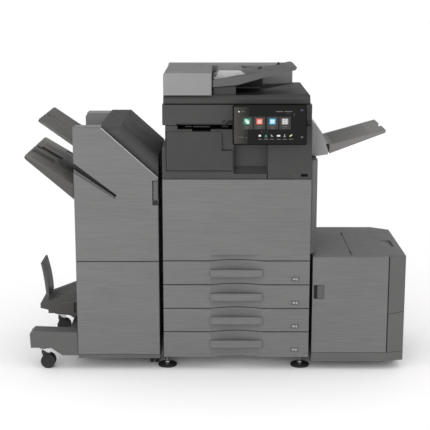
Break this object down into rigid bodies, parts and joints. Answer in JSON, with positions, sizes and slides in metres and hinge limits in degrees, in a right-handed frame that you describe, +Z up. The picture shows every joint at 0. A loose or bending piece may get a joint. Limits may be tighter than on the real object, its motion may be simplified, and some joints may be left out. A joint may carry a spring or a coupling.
{
  "type": "photocopier",
  "caption": "Floor-standing office photocopier with document feeder, tilting touch panel, stacked paper drawers, side paper deck and booklet finisher.",
  "frame": {"origin": "centre of the whole machine's footprint box, on the floor under the levelling feet", "axes": "+Z up; -Y towards the front where the operator stands; +X to the operator's right, from the finisher to the paper deck"},
  "size_m": [1.539, 0.69, 1.247],
  "materials": {
    "brushed_panel": "dark silver with a fine horizontal streak, satin",
    "dark_plastic": "dark grey, fine moulded texture",
    "mid_grey_plastic": "mid grey, fine moulded texture",
    "light_grey_plastic": "light grey, satin",
    "tray_plastic": "warm mid grey, moulded texture",
    "black_plastic": "black, matt",
    "black_gloss": "black, glossy bezel",
    "screen_glass": "black display glass",
    "clear_glass": "clear platen glass",
    "frame_steel": "zinc-coated sheet steel",
    "pad_foam": "white faced foam",
    "roller_rubber": "grey-black rubber",
    "wheel_rubber": "black",
    "bright_steel": "bright plated",
    "foot_black": "black moulded foot",
    "toner_plastic": "dark toner bottle"
  },
  "bodies": {
    "copier": {"main_frame": "frame_steel", "left_side_cover": "mid_grey_plastic", "right_side_cover": "mid_grey_plastic", "rear_cover": "dark_plastic", "inner_front_cover": "dark_plastic", "toner_cartridges": "toner_plastic", "fuser_unit": "black_plastic", "in_body_housing": "dark_plastic", "scanner_housing": "dark_plastic", "platen_glass": "clear_glass", "panel_bracket": "black_plastic", "levelling_feet": "foot_black", "main_casters": "wheel_rubber", "right_exit_unit": "light_grey_plastic"},
    "front_cover": {"front_cover": "brushed_panel"},
    "relay_cover": {"relay_unit_cover": "dark_plastic"},
    "power_key": {"power_key": "black_gloss"},
    "carriage": {"scan_carriage": "black_plastic"},
    "panel": {"control_panel": "black_gloss", "touch_screen": "screen_glass"},
    "feeder": {"adf_base": "dark_plastic", "adf_platen_pad": "pad_foam", "adf_rear_housing": "mid_grey_plastic"},
    "feed_cover": {"adf_feed_cover": "light_grey_plastic"},
    "feed_roller": {"adf_feed_roller": "roller_rubber"},
    "document_tray": {"adf_document_tray": "mid_grey_plastic"},
    "guide_front": {"document_guide_front": "light_grey_plastic"},
    "guide_rear": {"document_guide_rear": "light_grey_plastic"},
    "right_door": {"right_door": "mid_grey_plastic"},
    "bypass": {"bypass_tray": "mid_grey_plastic"},
    "exit_tray": {"right_exit_tray": "tray_plastic"},
    "deck": {"lcc_cabinet": "mid_grey_plastic", "lcc_front_cover": "brushed_panel", "lcc_casters": "wheel_rubber"},
    "deck_lid": {"lcc_lid": "mid_grey_plastic"},
    "deck_latch": {"lcc_latch": "mid_grey_plastic"},
    "deck_plate": {"lcc_lift_plate": "frame_steel"},
    "finisher": {"finisher_cabinet": "mid_grey_plastic", "finisher_upper_tray": "tray_plastic", "saddle_tray": "tray_plastic", "finisher_base_arms": "mid_grey_plastic", "finisher_right_casters": "wheel_rubber"},
    "finisher_upper_door": {"finisher_upper_door": "brushed_panel"},
    "finisher_lower_door": {"finisher_lower_door": "brushed_panel"},
    "hood": {"finisher_hood": "dark_plastic"},
    "stack_tray": {"finisher_stack_tray": "tray_plastic"},
    "release_lever": {"finisher_release_lever": "mid_grey_plastic"},
    "stopper": {"saddle_stopper": "mid_grey_plastic"},
    "front_fork": {"caster_front_fork": "bright_steel"},
    "front_wheel": {"caster_front_wheel": "wheel_rubber"},
    "rear_fork": {"caster_rear_fork": "bright_steel"},
    "rear_wheel": {"caster_rear_wheel": "wheel_rubber"},
    "drawer_1": {"tray_1_front": "brushed_panel", "tray_1_box": "black_plastic"},
    "drawer_2": {"tray_2_front": "brushed_panel", "tray_2_box": "black_plastic"},
    "drawer_3": {"tray_3_front": "brushed_panel", "tray_3_box": "black_plastic"},
    "drawer_4": {"tray_4_front": "brushed_panel", "tray_4_box": "black_plastic"}
  },
  "joints": [
    {"name": "drawer_1_slide", "type": "slide", "parent": "copier", "child": "drawer_1", "axis": [0, -1, 0], "range_m": [0, 0.42]},
    {"name": "drawer_2_slide", "type": "slide", "parent": "copier", "child": "drawer_2", "axis": [0, -1, 0], "range_m": [0, 0.42]},
    {"name": "drawer_3_slide", "type": "slide", "parent": "copier", "child": "drawer_3", "axis": [0, -1, 0], "range_m": [0, 0.42]},
    {"name": "drawer_4_slide", "type": "slide", "parent": "copier", "child": "drawer_4", "axis": [0, -1, 0], "range_m": [0, 0.42]},
    {"name": "front_cover_hinge", "type": "hinge", "parent": "copier", "child": "front_cover", "pos_m": [0.0795, -0.251, 0.4695], "axis": [-1, 0, 0], "range_deg": [-85, 0]},
    {"name": "relay_cover_hinge", "type": "hinge", "parent": "copier", "child": "relay_cover", "pos_m": [0.0795, -0.256, 0.84], "axis": [1, 0, 0], "range_deg": [0, 80]},
    {"name": "power_key_press", "type": "slide", "parent": "copier", "child": "power_key", "axis": [0, 1, 0], "range_m": [0, 0.0015], "stiffness_N_per_m": 900},
    {"name": "scan_carriage_slide", "type": "slide", "parent": "copier", "child": "carriage", "axis": [1, 0, 0], "range_m": [0, 0.45]},
    {"name": "panel_tilt", "type": "hinge", "parent": "copier", "child": "panel", "pos_m": [0.0795, -0.281, 1.078], "axis": [-1, 0, 0], "range_deg": [0, 60]},
    {"name": "feeder_lift", "type": "hinge", "parent": "copier", "child": "feeder", "pos_m": [0.0795, 0.337, 1.0985], "axis": [-1, 0, 0], "range_deg": [0, 65]},
    {"name": "feed_cover_hinge", "type": "hinge", "parent": "feeder", "child": "feed_cover", "pos_m": [-0.2115, -0.255, 1.1325], "axis": [0, -1, 0], "range_deg": [0, 75]},
    {"name": "feed_roller_spin", "type": "hinge", "parent": "feeder", "child": "feed_roller", "pos_m": [-0.0855, -0.145, 1.176], "axis": [0, 1, 0], "continuous": true},
    {"name": "document_tray_lift", "type": "hinge", "parent": "feeder", "child": "document_tray", "pos_m": [-0.0165, -0.255, 1.192], "axis": [0, -1, 0], "range_deg": [0, 30]},
    {"name": "guide_front_slide", "type": "slide", "parent": "document_tray", "child": "guide_front", "axis": [0, 1, 0], "range_m": [-0.02, 0.06]},
    {"name": "guide_rear_slide", "type": "slide", "parent": "document_tray", "child": "guide_rear", "axis": [0, 1, 0], "range_m": [-0.06, 0.02]},
    {"name": "right_door_hinge", "type": "hinge", "parent": "copier", "child": "right_door", "pos_m": [0.3795, 0.244, 0.684], "axis": [0, 0, 1], "range_deg": [0, 80]},
    {"name": "bypass_tray_hinge", "type": "hinge", "parent": "right_door", "child": "bypass", "pos_m": [0.404, 0.015, 0.56], "axis": [0, 1, 0], "range_deg": [0, 75]},
    {"name": "exit_tray_fold", "type": "hinge", "parent": "copier", "child": "exit_tray", "pos_m": [0.4575, 0.019, 0.921], "axis": [0, -1, 0], "range_deg": [0, 50]},
    {"name": "deck_undock", "type": "slide", "parent": "copier", "child": "deck", "axis": [1, 0, 0], "range_m": [0, 0.25]},
    {"name": "deck_lid_hinge", "type": "hinge", "parent": "deck", "child": "deck_lid", "pos_m": [0.5495, -0.015, 0.4805], "axis": [0, 1, 0], "range_deg": [-80, 0]},
    {"name": "deck_latch_pull", "type": "hinge", "parent": "deck", "child": "deck_latch", "pos_m": [0.4365, -0.247, 0.333], "axis": [0, 0, 1], "range_deg": [0, 25]},
    {"name": "deck_plate_lift", "type": "slide", "parent": "deck", "child": "deck_plate", "axis": [0, 0, 1], "range_m": [0, 0.34]},
    {"name": "finisher_undock", "type": "slide", "parent": "copier", "child": "finisher", "axis": [-1, 0, 0], "range_m": [0, 0.25]},
    {"name": "finisher_upper_door_hinge", "type": "hinge", "parent": "finisher", "child": "finisher_upper_door", "pos_m": [-0.5705, -0.255, 0.7], "axis": [0, 0, -1], "range_deg": [0, 100]},
    {"name": "finisher_lower_door_hinge", "type": "hinge", "parent": "finisher", "child": "finisher_lower_door", "pos_m": [-0.5705, -0.255, 0.26], "axis": [0, 0, -1], "range_deg": [0, 100]},
    {"name": "hood_hinge", "type": "hinge", "parent": "finisher", "child": "hood", "pos_m": [-0.3505, 0.265, 1.005], "axis": [-1, 0, 0], "range_deg": [0, 55]},
    {"name": "stack_tray_lift", "type": "slide", "parent": "finisher", "child": "stack_tray", "axis": [0, 0, -1], "range_m": [0, 0.2]},
    {"name": "release_lever_pull", "type": "hinge", "parent": "finisher", "child": "release_lever", "pos_m": [-0.2535, -0.245, 0.745], "axis": [0, 0, -1], "range_deg": [0, 20]},
    {"name": "stopper_fold", "type": "hinge", "parent": "finisher", "child": "stopper", "pos_m": [-0.7255, 0.045, 0.246], "axis": [0, 1, 0], "range_deg": [0, 50]},
    {"name": "front_caster_swivel", "type": "hinge", "parent": "finisher", "child": "front_fork", "pos_m": [-0.7205, -0.214, 0.09], "axis": [0, 0, 1], "continuous": true},
    {"name": "front_caster_spin", "type": "hinge", "parent": "front_fork", "child": "front_wheel", "pos_m": [-0.7005, -0.214, 0.03], "axis": [0, 1, 0], "continuous": true},
    {"name": "rear_caster_swivel", "type": "hinge", "parent": "finisher", "child": "rear_fork", "pos_m": [-0.7205, 0.264, 0.09], "axis": [0, 0, 1], "continuous": true},
    {"name": "rear_caster_spin", "type": "hinge", "parent": "rear_fork", "child": "rear_wheel", "pos_m": [-0.7005, 0.264, 0.03], "axis": [0, 1, 0], "continuous": true}
  ],
  "couplings": [
    {"joint": "guide_rear_slide", "follows": "guide_front_slide", "ratio": -1}
  ]
}
